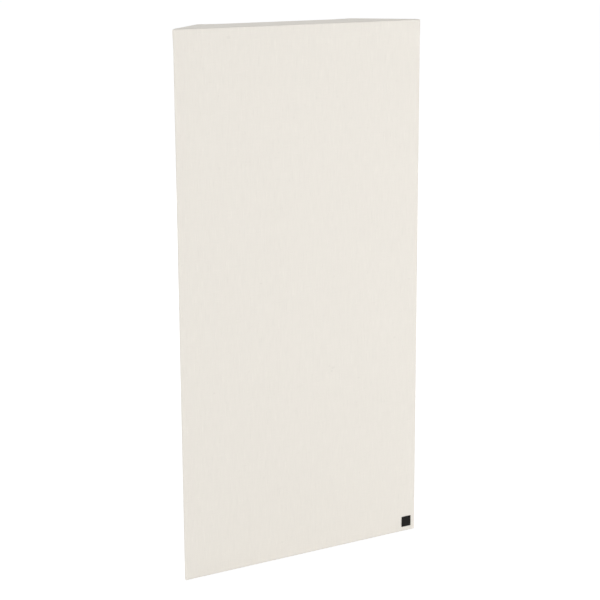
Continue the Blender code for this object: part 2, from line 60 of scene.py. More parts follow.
SLOPE = math.sqrt(0.5)  # sine and cosine of the sides' 45 degree bevel
SAME, NEAR = 1e-6, 1e-5  # distances that count as none, in a mesh and in a choice of vertices


def middle(node):
    return [(low + high) / 2 for low, high in zip(*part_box(node))]


# Camera, solved from the photographed corners of the front and the top
LENS, SENSOR = 96.603, 36.0
CAMERA_PLACE = (-1.7592, -3.0424, 1.4090)
AZIMUTH = math.radians(30.387)  # from +Y towards +X
PITCH, ROLL = math.radians(-13.174), math.radians(-0.274)

# Light: the sky's level, then each lamp's place, size and share of a full level
SKY = 0.60
LAMPS = {
    "left": ((-6.0, -1.6, 1.1), 3.0, 0.30),
    "front": ((2.1, -4.75, 0.68), 1.25, 0.355),
    "rear": ((0.6, 5.0, 2.6), 3.0, 0.415),
}
FLOOR_SIZE = 200.0
FLOOR_GREY, FLOOR_LIT, FLOOR_GLOW = (0.80, 0.80, 0.80), (0.26, 0.26, 0.26), 0.86
WHITE = (1.0, 1.0, 1.0)

# Wrapped body, from the frame
COVER_LOW, COVER_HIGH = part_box("fabric_cover")
Y_FRONT, HEIGHT = COVER_LOW.y, COVER_HIGH.z
WALL = next(m for m in frame["record"]["mounts"] if m["name"] == "right_wall_face")
HALF_WIDTH = WALL["pos_m"][0] + WALL["pos_m"][1] - Y_FRONT  # to the front's unrounded edge
LADDER_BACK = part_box("left_stile")[1].y
EDGE_ROUND = 0.0028

# Cloth of the cover
CLOTH = 0.00040
SHEET_GAP = 0.00003  # between sheets that lie on each other
LAYER = CLOTH + SHEET_GAP
HEM = 0.035
FOLD_INSET = 0.0021  # along X, from the side face to the fold
FOLD_ROUND = CLOTH + SHEET_GAP / 2
FOLD_START = 0.012  # length over which the fold opens out of the corner
FOLD_STRAIGHT, FOLD_SWING = 0.018, 0.016  # before the back, where the fold leaves the bevel
TURNED, TURNED_GROWTH = 0.012, 1.1  # cloth folded under at the end flaps' sides
TUCK, HEM_TUCK, TUCK_SHARE = 0.014, 0.006, 0.8  # turned over the ends; share of a corner's room
LEAST = 0.0003  # shortest tuck or turn
TURNED_EASE, TUCK_EDGE, TUCK_EASE = 0.005, 0.034, 0.006  # where a flap comes down from them
FINE, COARSE, STEP_GROWTH = 0.0018, 0.0085, 1.3
END_FINE, END_COARSE = 0.0011, 0.0075
FOLD_STEPS, TURNED_STEPS, TUCK_STEPS, END_STEPS, BACK_STEPS = 6, 3, 3, 6, 3
CORNER_TURN, CORNER_STEPS = math.radians(135), FOLD_STEPS + TURNED_STEPS
HEM_LINE = np.linspace(0.0, HEM, 6)

# Where stretched cloth stands off its corners: height and side, then how far
CORNER_FLARE = {("top", "left"): 0.0018, ("top", "right"): 0.0006}
BASE_FLARE = 0.0003
FLARE_DOWN, FLARE_ACROSS = 0.050, 0.012
WAVE, WAVE_MARGIN = 0.00010, 0.08  # of the front, and how far from its edges the waves start

# Dust cloth over the back
SCRIM_LOW, SCRIM_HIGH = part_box("rear_scrim")
SCRIM_THICK, SCRIM_CELL, SCRIM_CLEAR = 0.0004, 0.005, 0.0001
SCRIM_MARGIN = 0.008  # from the back's edge to the dust cloth's
SLACK, SLACK_REACH, SLACK_WAVE = 0.0035, 0.16, 0.0007
EDGE_DRAWN, EDGE_RISE, EDGE_REACH = 0.0009, 0.0004, 0.010  # between two staples
FAN, FAN_START, FAN_REACH = 0.00035, 0.02, 0.035  # ripples that run in from the staples
HEM_DROP, HEM_LEAD, HEM_EASE = 0.0005, 0.001, 0.004  # off the edge of the cover's hem
STILE_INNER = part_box("right_stile")[0].x
RAIL_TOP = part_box("bottom_rail")[1].z
STRAP_Z, STRAP_REACH = middle("left_hanger_strap")[2], 0.020

# Veil and wool
VEIL_THICK, VEIL_CLEAR, VEIL_WAVE = 0.00045, 0.00008, 0.00006
VEIL_COLUMNS, VEIL_ROWS = 60, 120
SLAB_CUTS, SLAB_EASE, SLAB_PITTING = 25, 0.0020, 0.0012

# Staples
STAPLE_THICK, STAPLE_WIDE, STAPLE_LEG, STAPLE_CROWN = 0.0007, 0.0009, 0.0080, 0.0100
STAPLE_BEND, STAPLE_EASE, STAPLE_POINT = 0.0006, 0.00012, 0.3  # its point as a share
STAPLE_PITCH, END_PITCH = 0.060, 0.050
END_PLACES = (-0.15, -0.05, 0.0, 0.05, 0.15)  # across an end, between the two of the model
SLIP_ALONG, SLIP_ASIDE, SLIP_TURN = 0.004, 0.0015, math.radians(9)  # of a hand-fired staple

# Screws
SCREW_SIDES, SCREW_TIP = 24, 0.0001
WOOD_HEAD, WOOD_SHANK, WOOD_HEAD_HEIGHT, WOOD_LENGTH = 0.0035, 0.00175, 0.0030, 0.0350
WOOD_CORE, WOOD_CREST, WOOD_PITCH = WOOD_SHANK * 0.72, 0.0020, 0.0016
WOOD_RIM, WOOD_RIM_BASE = 0.00012, 0.00040  # depths at which the head's rim starts and ends
WOOD_PLAIN, WOOD_NECK = WOOD_LENGTH * 0.36, 0.0005  # shank without a thread, and its step
WOOD_POINT, WOOD_NOSE = 0.006, 0.003
PAN_HEAD, PAN_SHANK, PAN_HEAD_HEIGHT, PAN_LENGTH = 0.0030, 0.0015, 0.0017, 0.0120
PAN_CORE, PAN_CREST, PAN_PITCH = PAN_SHANK * 0.78, 0.0017, 0.0013
PAN_NECK, PAN_THREAD, PAN_STEP = 0.0024, 0.0026, 0.0028  # depths under the head
PAN_RIM, PAN_POINT = 0.0006, 0.003
DOME_START, DOME_STEPS = math.radians(8), 6
RIDGE_FOOT = 0.96  # of the core's radius
RIDGE_HALF, RIDGE_STEPS = 0.30, 14  # in pitches, and to a turn
RUN_OUT, RUN_OUT_LEAST = 3, 0.15  # pitches that a thread takes to grow, and what it starts from
RECESS_SPAN, RECESS_SLOT, RECESS_DEPTH, RECESS_TAPER = 0.0036, 0.0010, 0.0011, 0.55

# Hangers
STRAP_SHEET, STRAP_ROUND, STRAP_EASE = 0.0012, 0.004, 0.00018
BARREL_BORE, BARREL_SIDES = 0.0019, 64
HOLE_PLAY, HOLE_SIDES, BIT_LENGTH = 0.0003, 32, 0.02
RING_WIRE, RING_CORNER, RING_REACH, RING_HALF = 0.0015, 0.0025, 0.0135, 0.010
RING_CORNER_STEPS, RING_BOW_STEPS, WIRE_ROUND = 8, 40, 5

# Badge
BADGE_CORNER, BADGE_CORNER_STEPS, BADGE_EASE = 0.001, 6, 0.00012
RIM_WIDE, RIM_STEP, PAD_INSET = 0.0007, 0.0002, 0.0015


class Value:
    """What varies over a surface. Arithmetic on it adds Math nodes to its tree."""

    def __init__(self, nodes, socket):
        self.nodes = nodes
        self.socket = socket

    def math(self, operation, *others):
        return self.nodes.math(operation, self, *others)

    __add__ = __radd__ = partialmethod(math, "ADD")
    __mul__ = __rmul__ = partialmethod(math, "MULTIPLY")
    __sub__ = partialmethod(math, "SUBTRACT")
    __truediv__ = partialmethod(math, "DIVIDE")
    __pow__ = partialmethod(math, "POWER")
    __abs__ = partialmethod(math, "ABSOLUTE")
    floor = partialmethod(math, "FLOOR")
    fraction = partialmethod(math, "FRACT")
    sine = partialmethod(math, "SINE")

    def __rsub__(self, other):
        return self.nodes.math("SUBTRACT", other, self)

    def clamped(self):
        return self.math("MAXIMUM", 0.0).math("MINIMUM", 1.0)

    def step(self, low, high):
        """0 below low and 1 above high, with a smooth rise between them."""
        settings = {"interpolation_type": "SMOOTHSTEP"}
        return self.nodes.node("MapRange", settings, {0: self, 1: low, 2: high, 3: 0.0, 4: 1.0})


class Nodes:
    """A node tree being made."""

    def __init__(self, tree):
        self.tree = tree

    def feed(self, socket, value):
        if isinstance(value, Value):
            self.tree.links.new(value.socket, socket)
        elif socket.type == "RGBA":
            socket.default_value = (*value, 1.0)
        else:
            socket.default_value = value

    def node(self, kind, settings=None, inputs=None, output=0):
        made = self.tree.nodes.new(f"ShaderNode{kind}")
        for key, value in (settings or {}).items():
            setattr(made, key, value)
        for key, value in (inputs or {}).items():
            self.feed(made.inputs[key], value)
        return Value(self, made.outputs[output])

    def math(self, operation, *values):
        return self.node("Math", {"operation": operation}, dict(enumerate(values)))

    def seen_by(self, *rays):
        """1 for rays of these kinds, such as the camera's."""
        first, *others = (self.node("LightPath", output=f"Is {ray} Ray") for ray in rays)
        for other in others:
            first = first.math("MAXIMUM", other)
        return first


class Finish(Nodes):
    """A material being made: a Principled shader and the nodes that feed it."""

    def __init__(self, name, **constants):
        self.material = bpy.data.materials.new(name)
        self.material.use_nodes = True
        super().__init__(self.material.node_tree)
        self.shader = self.tree.nodes["Principled BSDF"]
        self.set(**constants)

    def set(self, **sockets):
        for name, value in sockets.items():
            self.feed(self.shader.inputs[name.replace("_", " ")], value)

    def place(self):
        return self.node("TexCoord", output="Object")

    def cut(self):
        """The two coordinates of a sheet's own cut, in metres."""
        return self.parts(self.node("UVMap", {"uv_map": "cut"}))[:2]

    def parts(self, vector):
        return [self.node("SeparateXYZ", None, {"Vector": vector}, axis) for axis in "XYZ"]

    def along(self, vector, axis):
        inputs = {0: vector, 1: tuple(axis)}
        return self.node("VectorMath", {"operation": "DOT_PRODUCT"}, inputs, "Value")

    def noise(self, vector, scale=1.0, detail=2.0, roughness=0.5):
        """Noise from 0 to 1, mostly near 0.5."""
        inputs = {"Vector": vector, "Scale": scale, "Detail": detail, "Roughness": roughness}
        return self.node("TexNoise", None, inputs, "Fac")

    def drawn_noise(self, x, y, z=0.0, **settings):
        """Noise drawn out along the coordinates that were scaled least; z may tell two apart."""
        return self.noise(self.node("CombineXYZ", None, {"X": x, "Y": y, "Z": z}), **settings)

    def mix(self, factor, first, second):
        return self.node("Mix", {"data_type": "RGBA"}, {0: factor, 6: first, 7: second}, 2)

    def painted(self, share, colours, relief, distance, strength):
        """The material, coloured between two colours and with a relief."""
        bump = {"Strength": strength, "Distance": distance, "Height": relief}
        normal = self.node("Bump", None, bump, "Normal")
        self.set(Base_Color=self.mix(share, *colours), Normal=normal)
        return self.material


# Finishes, each with the two colours that it varies between

CREAM = (0.7479, 0.7146, 0.6579), (0.9141, 0.8734, 0.8041)
SCRIM_BLACK = (0.008, 0.008, 0.0085), (0.026, 0.026, 0.028)
VEIL_PALE = (0.60, 0.58, 0.51), (0.80, 0.78, 0.71)
WOOL_OCHRE = (0.25, 0.19, 0.07), (0.56, 0.46, 0.24)
BIRCH = (0.46, 0.31, 0.17), (0.68, 0.52, 0.34)
BIRCH_PORE, BIRCH_GLUE = (0.28, 0.17, 0.08), (0.16, 0.09, 0.045)
ZINC_GREY = (0.66, 0.67, 0.69), (0.56, 0.56, 0.56)
WIRE_GREY = (0.72, 0.72, 0.73), (0.60, 0.59, 0.57)
BADGE_BLACK = (0.0075, 0.0068, 0.0062), (0.0100, 0.0088, 0.0080)
THREAD = 0.00095
POINT_PITCH = 0.0016  # of the dust cloth's pressed points
PLIES = 5
KNOTS = (  # x, z and size of the ones that show from a step away
    (-0.178, 1.179, 0.0065),
    (0.281, 0.614, 0.0040),
    (-0.108, 0.648, 0.0041),
    (0.242, 0.480, 0.0050),
    (0.077, 0.432, 0.0052),
    (0.067, 0.437, 0.0035),
    (0.073, 0.425, 0.0042),
    (0.145, 0.399, 0.0040),
    (-0.225, 0.418, 0.0040),
)


def cream_cloth():
    """Plain weave with slubs, threads that swell for a few centimetres, and small tangles."""
    finish = Finish("cream_cloth", Roughness=0.92, Specular_IOR_Level=0.25)
    finish.set(Sheen_Weight=0.10, Sheen_Roughness=0.6)
    u, v = finish.cut()
    warp, weft = (u / THREAD).floor(), (v / THREAD).floor()
    swell_up = finish.drawn_noise(warp * 0.713, v * 28.0, detail=1.0)
    swell_across = finish.drawn_noise(weft * 0.617, u * 40.0, 7.3, detail=1.0)
    streak = finish.drawn_noise(u * 150.0, v * 28.0, 3.1, detail=3.0)
    cloud = finish.drawn_noise(u * 9.0, v * 5.0, 1.7, detail=3.0)
    slub = swell_up.step(0.60, 0.76)
    nep = finish.drawn_noise(u * 110.0, v * 80.0, 9.1, detail=1.0).step(0.68, 0.80)
    weave, knot = plain_weave(finish, u, v), sum_of_knots(finish)
    tone = 0.985 + (swell_up - 0.5) * 0.016 + (swell_across - 0.5) * 0.004 + (streak - 0.5) * 0.050
    tone = tone + rare(swell_up) * 1.7 + rare(swell_across) * 0.8 + slub * 0.006 - nep * 0.025
    # weave puts the threads' pattern into the tone and paints shade into the low gaps between the threads
    tone = tone + (cloud - 0.5) * 0.012 + weave * 0.022 - knot * 0.055
    share = (tone * 5.0 - 4.5).clamped()  # a tone of 0.9 is the darker cream, and 1.1 the paler
    relief = weave + slub * 0.5 + (swell_across + swell_up) * 0.35 + knot * 1.2 + nep * 0.6
    return finish.painted(share, CREAM, relief, 0.00016, 0.5)


def plain_weave(finish, u, v):
    """The height of threads that cross over and under each other, drifting a little."""
    drift = (finish.drawn_noise(u * 55.0, v * 55.0, 5.9) - 0.5) * (THREAD * 1.6)
    up = ((u + drift) * (math.pi / THREAD)).sine()
    across = ((v - drift) * (math.pi / THREAD)).sine()
    over = (up * across).step(-0.06, 0.06)
    up, across = abs(up) ** 0.5, abs(across) ** 0.5
    return (across + (up - across) * over) * (0.8 + up * across * 0.2)


def rare(value):
    """Near 0 but for a noise's few highest and lowest values."""
    away = value - 0.5
    return away * away * away


def sum_of_knots(finish):
    """1 on the few small knots that show in the front's cloth, ragged at the edge."""
    at = finish.place()
    x, y, z = finish.parts(at)
    ragged = (finish.noise(at, 420.0, detail=4.0, roughness=0.7) - 0.5) * 3.0
    knots = []
    for knot_x, knot_z, size in KNOTS:
        across = (x - knot_x) / size
        up = (z - knot_z) * 1.5 / size
        knots.append(1.0 - (across * across + up * up + ragged).step(0.0, 0.9))
    front = 1.0 - y.step(Y_FRONT + 0.001, Y_FRONT + 0.002)
    return sum(knots) * front


def black_scrim():
    """Non-woven cloth: matted fibre pressed together at rows of small points."""
    finish = Finish("black_scrim", Specular_IOR_Level=0.3, Sheen_Weight=0.15, Sheen_Roughness=0.5)
    u, v = finish.cut()
    across, up = ((way * (2 * math.pi / POINT_PITCH)).sine() for way in (u, v))
    point = (across * up).step(0.35, 0.8)
    fibre = finish.drawn_noise(u * 900.0, v * 500.0, detail=4.0, roughness=0.65)
    matted = finish.drawn_noise(u * 60.0, v * 45.0, 4.0, detail=3.0)
    tone = (fibre * 0.55 + matted * 0.45 - point * 0.12).clamped()
    finish.set(Roughness=0.95 - point * 0.3)
    relief = fibre * 0.5 + matted * 0.3 - point * 0.6
    return finish.painted(tone, SCRIM_BLACK, relief, 0.00018, 0.6)


def veil_fibre():
    """Thin pale fibre, laid both ways."""
    finish = Finish("veil_fibre", Roughness=0.95)
    u, v = finish.cut()
    fibre = finish.drawn_noise(u * 700.0, v * 90.0, detail=4.0, roughness=0.7)
    crossed = finish.drawn_noise(u * 90.0, v * 700.0, 2.0, detail=4.0, roughness=0.7)
    tone = (fibre * 0.5 + crossed * 0.5).clamped()
    return finish.painted(tone, VEIL_PALE, tone, 0.0002, 0.5)


def mineral_wool():
    """Layers of ochre fibre whose colour varies, painted darker in the hollows as shade."""
    finish = Finish("mineral_wool", Roughness=1.0, Specular_IOR_Level=0.1)
    x, y, z = finish.parts(finish.place())
    layers = finish.drawn_noise(x * 60.0, y * 700.0, z * 60.0, detail=5.0, roughness=0.7)
    fibre = finish.drawn_noise(x * 900.0, y * 1400.0, z * 900.0, detail=3.0, roughness=0.7)
    tone = (layers * 0.6 + fibre * 0.4).step(0.3, 0.7)
    # tone is both the colour and the relief, so the hollows are painted darker as shade
    return finish.painted(tone, WOOL_OCHRE, tone, 0.0008, 0.8)


def birch_ply(name, out, grain, centre, thickness):
    """Ply whose faces look along out, with the face grain along grain; centre is its mid plane."""
    out, grain = Vector(out).normalized(), Vector(grain).normalized()
    finish = Finish(name, Specular_IOR_Level=0.35)
    at = finish.place()
    along, across = finish.along(at, grain), finish.along(at, out.cross(grain))
    ply = (finish.along(at, out) - centre) * (PLIES / thickness) + PLIES / 2
    turned = (ply.floor() * 0.5).fraction() * 2.0  # 1 on every other ply
    long = along + (across - along) * turned
    wide = across + (along - across) * turned
    layer = ply.floor() * 3.7
    lines = finish.drawn_noise(long * 9.0, wide * 420.0, layer, detail=4.0, roughness=0.6)
    figure = finish.drawn_noise(long * 3.0, wide * 22.0, layer + 0.5)
    pores = finish.drawn_noise(long * 160.0, wide * 2400.0, layer + 0.2, detail=1.0).step(0.62, 0.75)
    glue = abs(ply.fraction() - 0.5).step(0.44, 0.5)
    flat = abs(finish.along(finish.node("NewGeometry", output="Normal"), out)).step(0.6, 0.9)
    tone = (lines * 0.45 + figure * 0.55 - turned * 0.12).clamped()
    face = finish.mix(tone.step(0.25, 0.75), *BIRCH)
    wood = finish.mix(pores * 0.35, face, BIRCH_PORE)
    finish.set(Roughness=0.55 + lines * 0.15)
    glued = glue * (1.0 - flat) * 0.7
    return finish.painted(glued, (wood, BIRCH_GLUE), lines - pores * 0.5, 0.00015, 0.4)


def hard_finish(name, colours, texture, patches, edge, rough, relief, **constants):
    """Metal or plastic with a fine texture, another colour in patches.

    texture and patches are scale and detail of a noise, and edge is where the patches start and
    are full. rough is the roughness and what the texture and the patches add to it. relief is
    the texture's depth and strength."""
    finish = Finish(name, **constants)
    at = finish.place()
    fine, patch = finish.noise(at, *texture, 0.6), finish.noise(at, *patches)
    finish.set(Roughness=rough[0] + fine * rough[1] + patch * rough[2])
    return finish.painted(patch.step(*edge), colours, fine, *relief)


def zinc_plate():
    """Bright zinc with a faint spangle, duller in patches."""
    looks = (900.0, 3.0), (160.0, 3.0), (0.35, 0.7), (0.26, 0.16, 0.08), (0.00003, 0.3)
    return hard_finish("zinc_plate", ZINC_GREY, *looks, Metallic=1.0)


def bright_wire():
    """Drawn wire, with fine marks of the die."""
    looks = (1500.0, 2.0), (220.0, 2.0), (0.4, 0.7), (0.16, 0.14, 0.06), (0.00002, 0.25)
    return hard_finish("bright_wire", WIRE_GREY, *looks, Metallic=1.0)


def satin_black():
    """Moulded black plastic with a fine even texture, a little paler where it is rubbed."""
    looks = (2600.0, 2.0), (320.0, 3.0), (0.35, 0.75), (0.42, 0.14, 0.0), (0.00003, 0.4)
    return hard_finish("satin_black", BADGE_BLACK, *looks, Specular_IOR_Level=0.10)


# Shared steps


def deselect():
    if bpy.context.mode != "OBJECT":
        bpy.ops.object.mode_set(mode="OBJECT")
    bpy.ops.object.select_all(action="DESELECT")


def choose(piece):
    deselect()
    piece.select_set(True)
    bpy.context.view_layer.objects.active = piece


def edit(piece):
    choose(piece)
    bpy.ops.object.mode_set(mode="EDIT")
    bpy.ops.mesh.select_all(action="SELECT")


def pick(piece, kind, test):
    """In edit mode, selects only the vertices, edges or faces that pass the test."""
    bpy.ops.mesh.select_mode(type=kind)
    bpy.ops.mesh.select_all(action="DESELECT")
    bpy.ops.object.mode_set(mode="OBJECT")
    mesh = piece.data
    for part in {"VERT": mesh.vertices, "EDGE": mesh.edges, "FACE": mesh.polygons}[kind]:
        part.select = test(part)
    bpy.ops.object.mode_set(mode="EDIT")


def extrude(dx, dy, dz):
    bpy.ops.mesh.extrude_region_move(TRANSFORM_OT_translate={"value": (dx, dy, dz)})


def apply_modifiers(piece):
    choose(piece)
    for modifier in list(piece.modifiers):
        bpy.ops.object.modifier_apply(modifier=modifier.name)


def settle(piece):
    """The piece's place goes into its mesh."""
    choose(piece)
    bpy.ops.object.transform_apply(location=True, rotation=True, scale=True)


def block(centre, size, turn=0.0):
    """A box, turned about its own upright axis."""
    deselect()
    bpy.ops.mesh.primitive_cube_add(size=1.0, location=centre)
    made = bpy.context.object
    made.scale = size
    made.rotation_euler = (0, 0, turn)
    settle(made)
    return made


def circle(vertices, radius, height, fill="NOTHING"):
    deselect()
    bpy.ops.mesh.primitive_circle_add(
        vertices=vertices, radius=radius, fill_type=fill, location=(0, 0, height)
    )
    made = bpy.context.object
    settle(made)
    return made


def face_out(piece):
    """Doubles merged and the faces turned outwards."""
    edit(piece)
    bpy.ops.mesh.remove_doubles(threshold=SAME)
    bpy.ops.mesh.normals_make_consistent(inside=False)
    deselect()


def shade(piece, degrees=35):
    choose(piece)
    bpy.ops.object.shade_smooth_by_angle(angle=math.radians(degrees))


def bevel(piece, width, degrees):
    """Eases the edges that turn by more than this."""
    modifier = piece.modifiers.new("eased_edges", "BEVEL")
    modifier.width = width
    modifier.segments = 2
    modifier.limit_method = "ANGLE"
    modifier.angle_limit = math.radians(degrees)
    modifier.use_clamp_overlap = True
    apply_modifiers(piece)


def cut_away(piece, tool):
    """Takes the tool's shape out of the piece."""
    cut = piece.modifiers.new("cut", "BOOLEAN")
    cut.operation = "DIFFERENCE"
    cut.object = tool
    apply_modifiers(piece)
    bpy.data.objects.remove(tool)


def linked(name, data):
    """A new object in the scene: a mesh, curve, lamp or camera."""
    made = bpy.data.objects.new(name, data)
    bpy.context.scene.collection.objects.link(made)
    return made


def move_mesh(piece, matrix):
    """Moves a piece's mesh by a matrix, which may mirror it."""
    piece.data.transform(matrix)
    if matrix.determinant() < 0:
        piece.data.flip_normals()


def copy_of(piece, matrix):
    made = linked(piece.name, piece.data.copy())
    move_mesh(made, matrix)
    return made


def finished(piece, name, material, body=BODY, nodes=()):
    """Names, paints and mounts a piece; nodes are what it stands for."""
    piece.name = name
    piece.data.name = name
    piece.data.materials.clear()
    piece.data.materials.append(material)
    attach(piece, body)
    if nodes:
        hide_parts(*nodes)


def smooth(x):
    """0 below 0 and 1 above 1, with a smooth rise between them."""
    x = np.clip(x, 0.0, 1.0)
    return x * x * (3.0 - 2.0 * x)


def between(share, first, second):
    return (1 - share) * first + share * second


def graded(length, fine=FINE, coarse=COARSE):
    """Distances from 0 to length, in steps that grow from both ends to the middle."""
    near, step = [0.0], fine
    while near[-1] + step < length / 2:
        near.append(near[-1] + step)
        step = min(step * STEP_GROWTH, coarse)
    if length - 2 * near[-1] < step / 2:
        near.pop()
    return np.array(near + [length - d for d in reversed(near)])


def grid(*coordinates):
    """Points in rows and columns."""
    return np.stack(np.broadcast_arrays(*coordinates), -1)


def sheet_mesh(name, grids):
    """One open sheet of several grids that meet. Each has its points and their places in the cut."""
    points, faces, cuts = [], [], []
    for place, cut in grids:
        rows, columns = place.shape[:2]
        first = sum(len(p) for p in points)
        index = first + np.arange(rows * columns).reshape(rows, columns)
        quads = grid(index[:-1, :-1], index[:-1, 1:], index[1:, 1:], index[1:, :-1])
        points.append(place.reshape(-1, 3))
        cuts.append(cut.reshape(-1, 2))
        faces.append(quads.reshape(-1, 4))
    points, cuts, faces = (np.concatenate(x) for x in (points, cuts, faces))
    mesh = bpy.data.meshes.new(name)
    mesh.from_pydata(points.tolist(), [], faces.tolist())
    layer = mesh.uv_layers.new(name="cut")
    layer.data.foreach_set("uv", cuts[faces.ravel()].astype(np.float32).ravel())
    return linked(name, mesh)


def thicken(sheet, thickness, outward):
    """Gives an open sheet its thickness, behind the side that looks along outward."""
    face_out(sheet)
    facing = sum((p.normal.dot(Vector(outward)) * p.area for p in sheet.data.polygons), 0.0)
    if facing < 0:
        sheet.data.flip_normals()
    wall = sheet.modifiers.new("thickness", "SOLIDIFY")
    wall.thickness = thickness
    wall.offset = -1.0
    wall.use_even_offset = False
    apply_modifiers(sheet)
    choose(sheet)
    bpy.ops.object.shade_smooth()


# Cover

CORNER_X = HALF_WIDTH - (1 + math.sqrt(2)) * EDGE_ROUND  # centre of the front corner's round
CORNER_Y = Y_FRONT + EDGE_ROUND
HEM_Y = LADDER_BACK + LAYER  # outside of a single layer on the back
BASE_Z = 2 * LAYER  # the body stands on its folds
TOP_RISE, BASE_RISE = HEIGHT - EDGE_ROUND, BASE_Z + EDGE_ROUND


def side_x(y):
    """Half the width of the unrounded body at depth y."""
    return HALF_WIDTH - (y - Y_FRONT)


def laid(start, along, *legs):
    """Cloth laid round a section of the body, from a start that faces the front: its places and
    their normals as complex numbers, and the cloth's length at each. A leg has the angles of a
    rounded edge and the distances of the flat after it."""
    places, normals, lengths = [start], [-1j], [along]
    for turns, flat in legs:
        place, normal, length = places[-1], normals[-1], lengths[-1]
        for turn in turns[1:]:
            normals.append(normal * np.exp(1j * turn))
            places.append(place + EDGE_ROUND * (normals[-1] - normal))
            lengths.append(length + EDGE_ROUND * turn)
        place, normal, length = places[-1], normals[-1], lengths[-1]
        for distance in flat[1:]:
            normals.append(normal)
            places.append(place + 1j * normal * distance)
            lengths.append(length + distance)
    return np.array(places), np.array(normals), np.array(lengths)


def round_corner():
    """The right half of the plan past the flat front, and the length of its side."""
    back_x = side_x(HEM_Y) + EDGE_ROUND * (1 - math.sqrt(2))
    side_long = math.hypot(CORNER_X - back_x, HEM_Y - EDGE_ROUND - CORNER_Y)
    corner = np.linspace(0.0, CORNER_TURN, CORNER_STEPS + 1)
    back = np.linspace(0.0, QUARTER / 2, BACK_STEPS + 1)
    legs = (corner, graded(side_long)), (back, HEM_LINE)
    places, normals, along = laid(complex(CORNER_X, Y_FRONT), CORNER_X, *legs)
    return places[1:], normals[1:], along[1:], side_long


def over_the_end():
    """A flap's way over an end, from the front's edge to the hem's: height from the end's level
    as the real part, and y."""
    turns = np.linspace(0.0, QUARTER, END_STEPS + 1)
    flat = graded(HEM_Y - Y_FRONT - 2 * EDGE_ROUND, END_FINE, END_COARSE)
    return laid(complex(-EDGE_ROUND, Y_FRONT), 0.0, (turns, flat), (turns, HEM_LINE))


def flap(columns):
    """The flap over the top end, with its heights from the end's level, and its cut. Its sides
    are a ball round the body's corner at the front, and open out into a fold."""
    places, normals, along = (part[:, None] for part in over_the_end())
    height, y, normal_z, normal_y = places.real, places.imag, normals.real, normals.imag
    opened = smooth(along / FOLD_START)
    lean = QUARTER / 2 * (1 - smooth((y - (HEM_Y - EDGE_ROUND - FOLD_STRAIGHT)) / FOLD_SWING))
    ball_x = np.maximum(CORNER_X - np.maximum(y - CORNER_Y, 0.0), 0.0)
    fold_x = side_x(y) - FOLD_INSET - FOLD_ROUND
    reach = between(opened, ball_x, fold_x)

    x = columns / columns.max() * reach
    inward = (reach - np.abs(x)) * np.cos(lean)
    past = smooth((inward - TURNED) / TURNED_EASE) + smooth((inward - TUCK_EDGE) / TUCK_EASE)
    raised = LAYER * (2 - past) * opened
    flat = grid(x, y + raised * normal_y, height + raised * normal_z)
    flat_cut = grid(x, along)

    step = np.arange(1, CORNER_STEPS + 1)
    corner = CORNER_TURN * step / CORNER_STEPS
    round_x = CORNER_X - EDGE_ROUND * normal_y * np.sin(corner)
    round_y = CORNER_Y + EDGE_ROUND * normal_y * np.cos(corner)
    on_ball = y < CORNER_Y - SAME
    ball = grid(np.where(on_ball, round_x, ball_x), np.where(on_ball, round_y, y), height)
    ball_cut = grid(CORNER_X + EDGE_ROUND * corner, along)

    bend = math.pi * np.minimum(step, FOLD_STEPS) / FOLD_STEPS
    under = np.clip((y - CORNER_Y) * TURNED_GROWTH, LEAST, TURNED)
    under = under * np.maximum(step - FOLD_STEPS, 0) / TURNED_STEPS
    shift = FOLD_ROUND * np.sin(bend) - under
    lift = 2 * LAYER - FOLD_ROUND * (1 - np.cos(bend))
    swing = shift * np.sin(lean)
    fold_y = y + lift * normal_y + swing * normal_z
    fold = grid(fold_x + shift * np.cos(lean), fold_y, height + lift * normal_z - swing * normal_y)
    length = FOLD_ROUND * bend + under
    fold_cut = grid(fold_x + length * np.cos(lean), along + length * np.sin(lean))

    edge = between(opened[..., None], ball, fold)
    edge_cut = between(opened[..., None], ball_cut, fold_cut)
    left, left_cut = edge[:, ::-1] * [-1, 1, 1], edge_cut[:, ::-1] * [-1, 1]
    return np.concatenate([left, flat, edge], 1), np.concatenate([left_cut, flat_cut, edge_cut], 1)


def tuck(places, normals, along, side_long):
    """The side cloth turned over the top end under the flap: one row for each step inwards."""
    from_corner = along - (CORNER_X + EDGE_ROUND * CORNER_TURN)
    room = np.minimum(from_corner, side_long - from_corner)
    hem_room = from_corner - side_long - EDGE_ROUND * QUARTER / 2
    on_side = np.minimum(TUCK_SHARE * room, TUCK)
    on_hem = np.minimum(TUCK_SHARE * hem_room, HEM_TUCK)
    reach = np.maximum(np.where(room > 0, on_side, on_hem), LEAST)
    turn = np.linspace(0.0, QUARTER, END_STEPS + 1)[:, None] + 0 * reach
    flat = reach * np.arange(1, TUCK_STEPS + 1)[:, None] / TUCK_STEPS
    inset = np.concatenate([EDGE_ROUND * (1 - np.cos(turn)), EDGE_ROUND + flat])
    height = np.concatenate([EDGE_ROUND * (np.sin(turn) - 1), 0 * flat])
    cloth = np.concatenate([EDGE_ROUND * turn, EDGE_ROUND * QUARTER + flat])
    inner = places - normals * inset
    return grid(inner.real, inner.imag, height), grid(along, cloth)


